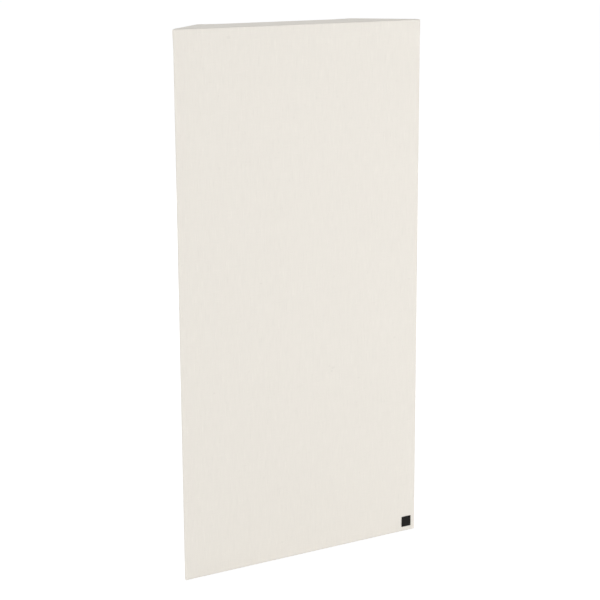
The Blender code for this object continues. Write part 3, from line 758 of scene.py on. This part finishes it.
def drawn_cloth(points):
    """Moves points as stretched cloth lies: off the corners, and in long low waves."""
    x, y, z = points.T
    half = HEIGHT / 2
    moved = points.copy()
    for hand, side in SIDES.items():
        for level, distance in (("top", HEIGHT - z), ("base", z)):
            far = CORNER_FLARE.get((level, hand), BASE_FLARE)
            from_edge = np.hypot(x - side * (CORNER_X + EDGE_ROUND), y - CORNER_Y)
            weight = (1 - smooth(distance / FLARE_DOWN)) * (1 - smooth(from_edge / FLARE_ACROSS))
            moved[:, 0] += far * weight * side * math.cos(math.pi / 8)
            moved[:, 1] -= far * weight * math.sin(math.pi / 8)
    inside = smooth((CORNER_X - np.abs(x)) / WAVE_MARGIN)
    inside = inside * smooth((half - np.abs(z - half)) / WAVE_MARGIN)
    wave = np.sin(41.0 * x + 3.0 * np.sin(5.0 * z)) * np.sin(23.0 * z + 1.3)
    wave = wave + 0.6 * np.sin(17.0 * x - 31.0 * z)
    on_front = y < CORNER_Y - EDGE_ROUND * 0.9
    moved[:, 1] += np.where(on_front, WAVE * wave * inside, 0.0)
    return moved


def wrap():
    """The cover as one folded sheet: a band round the body, a flap over each end, tucks under it."""
    places, normals, along, side_long = round_corner()
    front = graded(2 * CORNER_X) - CORNER_X
    x = np.concatenate([-places.real[::-1], front, places.real])
    y = np.concatenate([places.imag[::-1], np.full(len(front), Y_FRONT), places.imag])
    path = np.concatenate([-along[::-1], front, along])
    heights = (graded(TOP_RISE - BASE_RISE) + BASE_RISE)[:, None]
    grids = [(grid(x, y, heights), grid(path, heights))]
    tucked = slice(CORNER_STEPS - 1, None)
    over = flap(front)
    under = tuck(places[tucked], normals[tucked], along[tucked], side_long)
    for level, sign, rise in ((HEIGHT, 1, TOP_RISE), (BASE_Z, -1, BASE_RISE)):
        for (points, cut), hands in ((over, (1,)), (under, (1, -1))):
            for hand in hands:
                placed = points * [hand, 1, sign] + [0, 0, level]
                grids.append((placed, cut * [hand, sign] + [0, rise]))
    return [(drawn_cloth(p.reshape(-1, 3)).reshape(p.shape), c) for p, c in grids]


def cut_area(sheet):
    """Area and size of the cloth as it was cut."""
    loops = np.zeros(len(sheet.data.loops) * 2)
    sheet.data.uv_layers["cut"].data.foreach_get("uv", loops)
    corners = loops.reshape(-1, 4, 2)
    first, second = corners[:, 2] - corners[:, 0], corners[:, 3] - corners[:, 1]
    area = np.abs(first[:, 0] * second[:, 1] - first[:, 1] * second[:, 0]).sum() / 2
    return area, np.ptp(loops[0::2]), np.ptp(loops[1::2])


def make_cover(material):
    cover = sheet_mesh("wrapped_cloth", wrap())
    area, wide, long = cut_area(cover)
    thicken(cover, CLOTH, FRONT)
    finished(cover, "wrapped_cloth", material, nodes=["fabric_cover"])


# Dust cloth, veil and wool


def stapled_cloth(wide, tall):
    """The dust cloth's points and cut: held at its staples, slack between the stiles."""
    u = np.linspace(-wide / 2, wide / 2, round(wide / SCRIM_CELL) + 1)
    v = np.linspace(0.0, tall, round(tall / SCRIM_CELL) + 1)
    u, v = np.meshgrid(u, v)
    x, z = u.copy(), v + SCRIM_LOW.z
    from_side = wide / 2 - np.abs(u)
    from_end = np.minimum(v, tall - v)
    bulge_up = (1 - np.cos(2 * math.pi * z / STAPLE_PITCH)) / 2
    bulge_across = (1 - np.cos(2 * math.pi * x / END_PITCH)) / 2
    off_strap = 1 - np.exp(-(((z - STRAP_Z) / STRAP_REACH) ** 2))
    near_side = np.exp(-from_side / EDGE_REACH) * off_strap
    near_end = np.exp(-from_end / EDGE_REACH)
    x -= np.sign(u) * EDGE_DRAWN * bulge_up * near_side
    z -= np.sign(v - tall / 2) * EDGE_DRAWN * bulge_across * near_end

    into = np.clip((STILE_INNER - np.abs(x)) / STILE_INNER, 0.0, 1.0)
    down = np.clip(np.minimum(z - RAIL_TOP, HEIGHT - RAIL_TOP - z) / SLACK_REACH, 0.0, 1.0)
    slack = (1 - (1 - into) ** 2) * (1 - (1 - down) ** 2)
    wave = np.sin(31.0 * x + 11.0 * z + 2.0 * np.sin(7.0 * z))
    wave = wave + 0.7 * np.sin(17.0 * x - 19.0 * z + 1.0)
    fan = np.sin(2 * math.pi * z / STAPLE_PITCH) * np.exp(-from_side / FAN_REACH)
    fan = fan * smooth(from_side / FAN_START)
    from_edge = np.minimum(from_side, from_end) + SCRIM_MARGIN
    off_hem = smooth((from_edge - HEM + HEM_LEAD) / HEM_EASE)
    depth = SLACK * slack + SLACK_WAVE * wave * slack + HEM_DROP * off_hem
    depth += FAN * fan * off_strap * smooth(into * 6.0 + 0.2)
    rise = EDGE_RISE * (bulge_up * near_side + bulge_across * near_end)
    return grid(x, SCRIM_HIGH.y + SCRIM_CLEAR - depth + rise, z), grid(u, v)


def make_dust_cloth(material):
    wide, tall = SCRIM_HIGH.x - SCRIM_LOW.x, SCRIM_HIGH.z - SCRIM_LOW.z
    cloth = sheet_mesh("dust_cloth", [stapled_cloth(wide, tall)])
    thicken(cloth, SCRIM_THICK, BACK)
    finished(cloth, "dust_cloth", material, nodes=["rear_scrim"])


def make_veil(material):
    """Thin fibre sheet between the wool and the cover."""
    low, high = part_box("facing_veil")
    wide, tall = high.x - low.x, high.z - low.z
    u, v = np.meshgrid(np.linspace(0.0, wide, VEIL_COLUMNS + 1), np.linspace(0.0, tall, VEIL_ROWS + 1))
    x, z = u + low.x, v + low.z
    y = low.y + VEIL_CLEAR + VEIL_WAVE * np.sin(37.0 * x) * np.sin(29.0 * z)
    veil = sheet_mesh("thin_veil", [(grid(x, y, z), grid(u, v))])
    thicken(veil, VEIL_THICK, FRONT)
    finished(veil, "thin_veil", material, nodes=["facing_veil"])


def make_slab(layer, level, material):
    """One wool slab: a block with its sides on the bevel and a pitted, fibrous skin."""
    node = f"{layer}_wool_{level}"
    low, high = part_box(node)
    slab = block((low + high) / 2, high - low)
    for vertex in slab.data.vertices:
        if vertex.co.y > (low.y + high.y) / 2:
            vertex.co.x -= math.copysign(high.y - low.y, vertex.co.x)
    bevel(slab, SLAB_EASE, 30)
    edit(slab)
    bpy.ops.mesh.subdivide(number_cuts=SLAB_CUTS)
    deselect()
    for vertex, normal in zip(slab.data.vertices, [v.normal.copy() for v in slab.data.vertices]):
        layered = noise.noise(Vector((vertex.co.x * 20, vertex.co.y * 260, vertex.co.z * 20)))
        pitted = noise.noise(vertex.co * 40)
        vertex.co -= normal * SLAB_PITTING * min(1.0, max(0.0, 0.5 + 0.7 * layered + 0.5 * pitted))
    shade(slab, 60)
    finished(slab, f"{layer}_slab_{level}", material, nodes=[node])


# Staples


def quarter_turn(centre):
    bpy.ops.mesh.spin(steps=5, angle=-QUARTER, center=centre, axis=BACK)


def staple_blank():
    """A staple in its own XZ plane, drawn as one flat wire; its crown's underside is at z = 0."""
    half = (STAPLE_CROWN - STAPLE_THICK) / 2
    radius = STAPLE_BEND + STAPLE_THICK / 2
    deselect()
    bpy.ops.mesh.primitive_plane_add(size=1.0, location=(-half, 0, -STAPLE_LEG))
    blank = bpy.context.object
    blank.scale = (STAPLE_THICK, STAPLE_WIDE, 1.0)
    settle(blank)
    straight = STAPLE_LEG + STAPLE_THICK / 2 - radius
    bend_z = STAPLE_THICK / 2 - radius
    edit(blank)
    extrude(0, 0, straight)
    quarter_turn((-half + radius, 0, bend_z))
    extrude(2 * (half - radius), 0, 0)
    quarter_turn((half - radius, 0, bend_z))
    extrude(0, 0, -straight)
    face_out(blank)
    for vertex in blank.data.vertices:
        if vertex.co.z < -STAPLE_LEG + NEAR:
            leg = math.copysign(half, vertex.co.x)
            vertex.co.x = leg + (vertex.co.x - leg) * STAPLE_POINT
    bevel(blank, STAPLE_EASE, 50)
    shade(blank)
    return blank


def stood(place, out, across):
    """A frame at place: its Z axis along out, its X axis along across."""
    z, x = Vector(out).normalized(), Vector(across).normalized()
    turn = Matrix((x, z.cross(x), z)).transposed().to_4x4()
    return Matrix.Translation(Vector(place)) @ turn


def hand_fired(taken):
    """Where the staples between the model's own go: a name, x, z and the crown's direction."""
    side = abs(taken["left_staple_1"][0])
    heights = np.arange(1, round(HEIGHT / STAPLE_PITCH)) * STAPLE_PITCH
    places = []
    for hand, sign in SIDES.items():
        used = [taken[f"{hand}_staple_{i}"][2] for i in (1, 2, 3, 4)] + [STRAP_Z]
        free = [z for z in heights if min(abs(z - other) for other in used) > STAPLE_PITCH / 2]
        places += [(f"{hand}_fill", sign * side, z, UP) for z in free]
    for end in ("top", "bottom"):
        places += [(f"{end}_fill", x, taken[f"{end}_staple_left"][2], ACROSS) for x in END_PLACES]
    return places


def make_staples(material):
    """The twelve that hold the cover and dust cloth, and the hand-fired ones between them."""
    blank = staple_blank()
    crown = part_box("left_staple_1")[1].y - STAPLE_THICK
    names = [f"{hand}_staple_{i}" for hand in SIDES for i in (1, 2, 3, 4)]
    names += [f"{end}_staple_{hand}" for end in ("top", "bottom") for hand in SIDES]
    taken = {name: middle(name) for name in names}
    for name, (x, _, z) in taken.items():
        low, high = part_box(name)
        along = UP if high.z - low.z > high.x - low.x else ACROSS
        piece = copy_of(blank, stood((x, crown, z), BACK, along))
        finished(piece, f"{name}_wire", material, nodes=[name])
    for index, (name, x, z, along) in enumerate(hand_fired(taken)):
        slips = [noise.noise(Vector((index * 1.7 + 0.3, shift, 0.5))) for shift in (0.2, 5.1, 9.4)]
        far, aside = slips[0] * SLIP_ALONG, slips[1] * SLIP_ASIDE
        place = (x + aside, crown, z + far) if along == UP else (x + far, crown, z + aside)
        matrix = stood(place, BACK, along) @ Matrix.Rotation(slips[2] * SLIP_TURN, 4, "Z")
        finished(copy_of(blank, matrix), f"{name}_staple_{index + 1}", material)
    bpy.data.objects.remove(blank)


# Screws


def turned_blank(rings):
    """A bar turned ring by ring from its top: each ring is (radius, height)."""
    radius, height = rings[0]
    blank = circle(SCREW_SIDES, radius, height, "NGON")
    edit(blank)
    for wide, low in rings[1:]:
        extrude(0, 0, low - height)
        share = wide / radius
        bpy.ops.transform.resize(value=(share, share, 1.0), center_override=(0, 0, low))
        radius, height = wide, low
    face_out(blank)
    return blank


def thread_ridge(core, crest, pitch, top, base):
    """A thread's ridge wound round the shank, running out at both ends."""
    turns = int((top - base) / pitch)
    foot = core * RIDGE_FOOT
    ridge = circle(3, 1.0, 0.0)
    profile = (crest, 0.0), (foot, -RIDGE_HALF), (foot, RIDGE_HALF)
    for vertex, (radius, rise) in zip(ridge.data.vertices, profile):
        vertex.co = (radius, 0.0, base + pitch / 2 + pitch * rise)
    wind = ridge.modifiers.new("wind", "SCREW")
    wind.steps = wind.render_steps = RIDGE_STEPS
    wind.iterations = turns
    wind.screw_offset = pitch
    wind.use_merge_vertices = False
    apply_modifiers(ridge)
    edit(ridge)
    bpy.ops.mesh.select_all(action="DESELECT")
    bpy.ops.mesh.select_mode(type="EDGE")
    bpy.ops.mesh.select_non_manifold()
    bpy.ops.mesh.fill_holes(sides=3)
    deselect()
    length = turns * pitch
    for vertex in ridge.data.vertices:
        radius = math.hypot(vertex.co.x, vertex.co.y)
        from_end = min(vertex.co.z - base, base + length + pitch - vertex.co.z)
        full = min(1.0, RUN_OUT_LEAST + from_end / (RUN_OUT * pitch))
        share = (foot + (radius - foot) * full) / radius if radius > core else 1.0
        vertex.co.x *= share
        vertex.co.y *= share
    face_out(ridge)
    return ridge


def cross_recess(blank, top):
    """A cross driven into the head, each arm narrowing downwards."""
    for turn in (0.0, QUARTER):
        punch = block((0, 0, top), (RECESS_SPAN, RECESS_SLOT, 2 * RECESS_DEPTH), turn)
        for vertex in punch.data.vertices:
            if vertex.co.z < top:
                vertex.co.x *= RECESS_TAPER
                vertex.co.y *= RECESS_TAPER
        cut_away(blank, punch)


def screw(rings, top, *thread):
    """A turned bar with a cross recess in its top and a thread wound round it."""
    blank = turned_blank(rings)
    cross_recess(blank, top)
    ridge = thread_ridge(*thread)
    choose(blank)
    ridge.select_set(True)
    bpy.ops.object.join()
    shade(blank)
    return blank


def wood_screw():
    """Countersunk: its head's top is at z = 0."""
    core_top, point = -WOOD_PLAIN - WOOD_NECK, -WOOD_LENGTH + WOOD_POINT
    rings = [(WOOD_HEAD * 0.96, 0.0), (WOOD_HEAD, -WOOD_RIM), (WOOD_HEAD, -WOOD_RIM_BASE)]
    rings += [(WOOD_SHANK, -WOOD_HEAD_HEIGHT), (WOOD_SHANK, -WOOD_PLAIN), (WOOD_CORE, core_top)]
    rings += [(WOOD_CORE, point), (WOOD_CORE * 0.62, point - WOOD_NOSE), (SCREW_TIP, -WOOD_LENGTH)]
    return screw(rings, 0.0, WOOD_CORE, WOOD_CREST, WOOD_PITCH, core_top, point - 0.001)


def pan_screw():
    """Domed head; z = 0 is its underside."""
    point = -PAN_LENGTH + PAN_POINT
    rings = []
    for turn in np.linspace(DOME_START, QUARTER, DOME_STEPS + 1):
        rise = PAN_RIM + (PAN_HEAD_HEIGHT - PAN_RIM) * math.cos(turn)
        rings.append((PAN_HEAD * math.sin(turn), rise))
    rings += [(PAN_HEAD, 0.0), (PAN_SHANK, 0.0), (PAN_SHANK, -PAN_NECK), (PAN_CORE, -PAN_STEP)]
    rings += [(PAN_CORE, point), (SCREW_TIP, -PAN_LENGTH)]
    thread = PAN_CORE, PAN_CREST, PAN_PITCH, -PAN_THREAD, point - 0.0005
    return screw(rings, PAN_HEAD_HEIGHT, *thread)


def screw_place(node, out, head):
    """Where the head's top is, on the axis of a screw that goes in against out."""
    low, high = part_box(node)
    place = middle(node)
    for axis in range(3):
        edge = head * math.sqrt(max(0.0, 1 - out[axis] ** 2))
        if out[axis] > 0.1:
            place[axis] = high[axis] - edge
        elif out[axis] < -0.1:
            place[axis] = low[axis] + edge
    return Vector(place)


def drive(blank, node, out, head, turn, material, above=0.0):
    """Drives a screw in against out, turned in its hole; above is its head's height over z = 0."""
    place = screw_place(node, out, head) - Vector(out) * above
    across = ACROSS if abs(out[0]) < 0.5 else UP
    matrix = stood(place, out, across) @ Matrix.Rotation(turn, 4, "Z")
    finished(copy_of(blank, matrix), f"{node}_steel", material, nodes=[node])


def make_screws(material):
    wood = {}
    for hand, side in SIDES.items():
        for depth in ("front", "rear"):
            wood[f"top_{hand}_{depth}_screw"] = UP
            wood[f"bottom_{hand}_{depth}_screw"] = (0, 0, -1)
            wood[f"shelf_{hand}_{depth}_screw"] = (side * SLOPE, SLOPE, 0)
        for level in ("bottom", "middle", "top"):
            wood[f"{hand}_stile_{level}_screw"] = BACK
        for level in ("bottom", "top"):
            wood[f"{level}_rail_{hand}_screw"] = BACK
    blank = wood_screw()
    for index, (node, out) in enumerate(wood.items()):
        drive(blank, node, out, WOOD_HEAD, index * 2.4, material)
    bpy.data.objects.remove(blank)
    blank = pan_screw()
    pan = [f"{hand}_hanger_{hole}_screw" for hand in SIDES for hole in ("near", "far")]
    for index, node in enumerate(pan):
        drive(blank, node, BACK, PAN_HEAD, 0.4 + index * 1.9, material, PAN_HEAD_HEIGHT)
    bpy.data.objects.remove(blank)


# Hangers


def strap_blank(wide, long):
    """A strap folded round the ring's pin, side view in XY: X along it, the pin's axis at the origin."""
    radius = BARREL_BORE + STRAP_SHEET / 2
    upper = -radius + STRAP_SHEET + SHEET_GAP
    blank = circle(BARREL_SIDES, radius, -wide / 2)
    edit(blank)
    pick(blank, "VERT", lambda v: v.co.x > NEAR and v.co.y < upper - NEAR)
    bpy.ops.mesh.delete(type="VERT")
    pick(blank, "VERT", lambda v: abs(v.co.x) < NEAR and v.co.y < 0)
    extrude(long, 0, 0)
    deselect()
    bend = [v for v in blank.data.vertices if 0 < v.co.x < long / 2]
    end = min((v for v in bend if abs(v.co.y - upper) < STRAP_SHEET / 4), key=lambda v: v.co.y)
    end.co.y = upper
    start, index = end.co.x, end.index
    edit(blank)
    pick(blank, "VERT", lambda v: v.index == index)
    extrude(long - start, 0, 0)
    bpy.ops.mesh.select_all(action="SELECT")
    extrude(0, 0, wide)
    pick(blank, "VERT", lambda v: v.co.x > long - NEAR)
    bpy.ops.mesh.bevel(offset=STRAP_ROUND, segments=8, affect="VERTICES")
    face_out(blank)
    wall = blank.modifiers.new("sheet", "SOLIDIFY")
    wall.thickness = STRAP_SHEET - SHEET_GAP
    wall.offset = 0.0
    apply_modifiers(blank)
    bevel(blank, STRAP_EASE, 50)
    return blank


def drill(piece, place, radius):
    """A hole along Y."""
    deselect()
    turn = (QUARTER, 0, 0)
    bpy.ops.mesh.primitive_cylinder_add(
        vertices=HOLE_SIDES, radius=radius, depth=BIT_LENGTH, location=place, rotation=turn
    )
    bit = bpy.context.object
    settle(bit)
    cut_away(piece, bit)


def make_strap(hand, hinge, material):
    """The folded strap of one hanger, with the holes for its two screws."""
    node = f"{hand}_hanger_strap"
    low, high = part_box(node)
    far = max(abs(low.x), abs(high.x))
    strap = strap_blank(high.z - low.z, far - abs(hinge.x))
    for hole in ("near", "far"):
        along = abs(middle(f"{hand}_hanger_{hole}_screw")[0]) - abs(hinge.x)
        drill(strap, (along, 0, 0), PAN_SHANK + HOLE_PLAY)
    move_mesh(strap, Matrix.Translation(hinge) @ Matrix.Diagonal((SIDES[hand], 1, 1, 1)))
    shade(strap)
    finished(strap, f"{hand}_folded_strap", material, nodes=[node])


def ring_line():
    """The middle of the ring's wire: Z along the hinge, the bow towards -X."""
    corner, bow = [], []
    for turn in np.linspace(0.0, QUARTER, RING_CORNER_STEPS + 1):
        x = -RING_CORNER + RING_CORNER * math.cos(turn)
        corner.append((x, RING_HALF - RING_CORNER + RING_CORNER * math.sin(turn)))
    for turn in np.linspace(0.0, math.pi, RING_BOW_STEPS + 1)[1:-1]:
        x = -RING_CORNER - (RING_REACH - RING_CORNER) * math.sin(turn)
        bow.append((x, RING_HALF * math.cos(turn)))
    return corner + bow + [(x, -z) for x, z in reversed(corner)]


def make_ring(hand, hinge, material):
    """One bent wire ring, its joint butted inside the strap's barrel."""
    curve = bpy.data.curves.new(f"{hand}_wire_ring", "CURVE")
    curve.dimensions = "3D"
    curve.bevel_depth = RING_WIRE
    curve.bevel_resolution = WIRE_ROUND
    line = ring_line()
    spline = curve.splines.new("POLY")
    spline.points.add(len(line) - 1)
    for point, (x, z) in zip(spline.points, line):
        point.co = (hinge.x + SIDES[hand] * x, hinge.y, hinge.z + z, 1.0)
    spline.use_cyclic_u = True
    choose(linked(f"{hand}_wire_ring", curve))
    bpy.ops.object.convert(target="MESH")
    ring = bpy.context.object
    face_out(ring)
    choose(ring)
    bpy.ops.object.shade_smooth()
    finished(ring, f"{hand}_wire_ring", material, f"{hand}_ring", [f"{hand}_d_ring"])


def make_hangers(zinc, wire):
    for hand in SIDES:
        joint = next(j for j in frame["joints"] if j["name"] == f"{hand}_ring_hinge")
        hinge = Vector(joint["pos_m"])
        make_strap(hand, hinge, zinc)
        make_ring(hand, hinge, wire)


# Badge


def make_badge(material):
    """A bare square badge with a thin raised rim, and the pad that holds it to the cloth."""
    low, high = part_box("label_plate")
    badge = block((low + high) / 2, high - low)

    def runs_back(edge):
        first, second = (badge.data.vertices[i].co for i in edge.vertices)
        return abs(first.y - second.y) > (high.y - low.y) / 2

    edit(badge)
    pick(badge, "EDGE", runs_back)
    bpy.ops.mesh.bevel(offset=BADGE_CORNER, segments=BADGE_CORNER_STEPS, affect="EDGES")
    pick(badge, "FACE", lambda face: face.normal.y < -0.9)
    bpy.ops.mesh.inset(thickness=RIM_WIDE, depth=0.0)
    bpy.ops.mesh.inset(thickness=RIM_STEP, depth=-RIM_STEP)
    pick(badge, "FACE", lambda face: face.normal.y > 0.9)
    bpy.ops.mesh.inset(thickness=PAD_INSET, depth=0.0)
    extrude(0, Y_FRONT - high.y, 0)
    bevel(badge, BADGE_EASE, 25)
    shade(badge, 30)
    finished(badge, "bare_badge", material, nodes=["label_plate"])


# Box and ladder


def finish_boards():
    """Each board's ply looks along its thickness, with the face grain along its length."""
    boards = {name: (UP, ACROSS) for name in ("bottom_board", "top_board", "centre_shelf")}
    boards |= {f"{hand}_side_board": ((side * SLOPE, SLOPE, 0), UP) for hand, side in SIDES.items()}
    boards |= {f"{hand}_stile": (BACK, UP) for hand in SIDES}
    boards |= {f"{end}_rail": (BACK, ACROSS) for end in ("bottom", "top")}
    for node, (out, grain) in boards.items():
        board = frame["nodes"][node]
        depths = [vertex.co.dot(Vector(out)) for vertex in board.data.vertices]
        low, high = min(depths), max(depths)
        board.data.materials.clear()
        board.data.materials.append(birch_ply(f"{node}_ply", out, grain, (low + high) / 2, high - low))


# Studio


def make_camera():
    data = bpy.data.cameras.new("camera")
    data.lens = LENS
    data.sensor_width = SENSOR
    data.dof.use_dof = False
    camera = linked("camera", data)
    level = math.cos(PITCH)
    ahead = Vector((math.sin(AZIMUTH) * level, math.cos(AZIMUTH) * level, math.sin(PITCH)))
    turn = ahead.to_track_quat("-Z", "Y") @ Quaternion(UP, ROLL)
    camera.location = CAMERA_PLACE
    camera.rotation_euler = turn.to_euler()
    bpy.context.scene.camera = camera


def make_world():
    """An even sky that lights at its own level and shows white."""
    world = bpy.data.worlds.new("studio")
    world.use_nodes = True
    bpy.context.scene.world = world
    nodes = Nodes(world.node_tree)
    strength = nodes.node("Mix", None, {0: nodes.seen_by("Camera", "Transmission"), 2: SKY, 3: 1.0})
    sky = world.node_tree.nodes["Background"]
    nodes.feed(sky.inputs["Color"], WHITE)
    nodes.feed(sky.inputs["Strength"], strength)


def make_floor():
    """A pale floor that shows white where it is lit, and keeps the object's shadow."""
    deselect()
    bpy.ops.mesh.primitive_plane_add(size=FLOOR_SIZE, location=(0, 0, 0))
    floor = bpy.context.object
    floor.name = "floor"
    finish = Finish("floor", Base_Color=FLOOR_GREY, Roughness=1.0, Specular_IOR_Level=0.0)
    glow = finish.node("Emission", None, {"Color": WHITE, "Strength": FLOOR_GLOW})
    lit = finish.node("BsdfDiffuse", None, {"Color": FLOOR_LIT})
    shown = finish.node("AddShader", None, {0: glow, 1: lit})
    plain = Value(finish, finish.shader.outputs[0])
    seen = finish.seen_by("Camera", "Glossy", "Transmission")
    surface = finish.node("MixShader", None, {0: seen, 1: plain, 2: shown})
    finish.feed(finish.tree.nodes["Material Output"].inputs["Surface"], surface)
    floor.data.materials.append(finish.material)


def make_lights():
    """Square lamps turned to the object's middle, each as strong there as its share says."""
    for name, (place, size, share) in LAMPS.items():
        towards = Vector((0.0, 0.0, HEIGHT / 2)) - Vector(place)
        data = bpy.data.lights.new(name, "AREA")
        data.shape = "SQUARE"
        data.size = size
        data.energy = share * (math.pi * towards.length) ** 2
        lamp = linked(name, data)
        lamp.location = place
        lamp.rotation_euler = towards.to_track_quat("-Z", "Y").to_euler()


make_camera()
make_world()
make_floor()
make_lights()
make_cover(cream_cloth())
make_dust_cloth(black_scrim())
make_veil(veil_fibre())
WOOL = mineral_wool()
for layer in ("front", "rear"):
    for level in ("lower", "upper"):
        make_slab(layer, level, WOOL)
ZINC, WIRE = zinc_plate(), bright_wire()
make_staples(WIRE)
make_screws(ZINC)
make_hangers(ZINC, WIRE)
make_badge(satin_black())
finish_boards()

bpy.context.scene.view_settings.view_transform = "Standard"
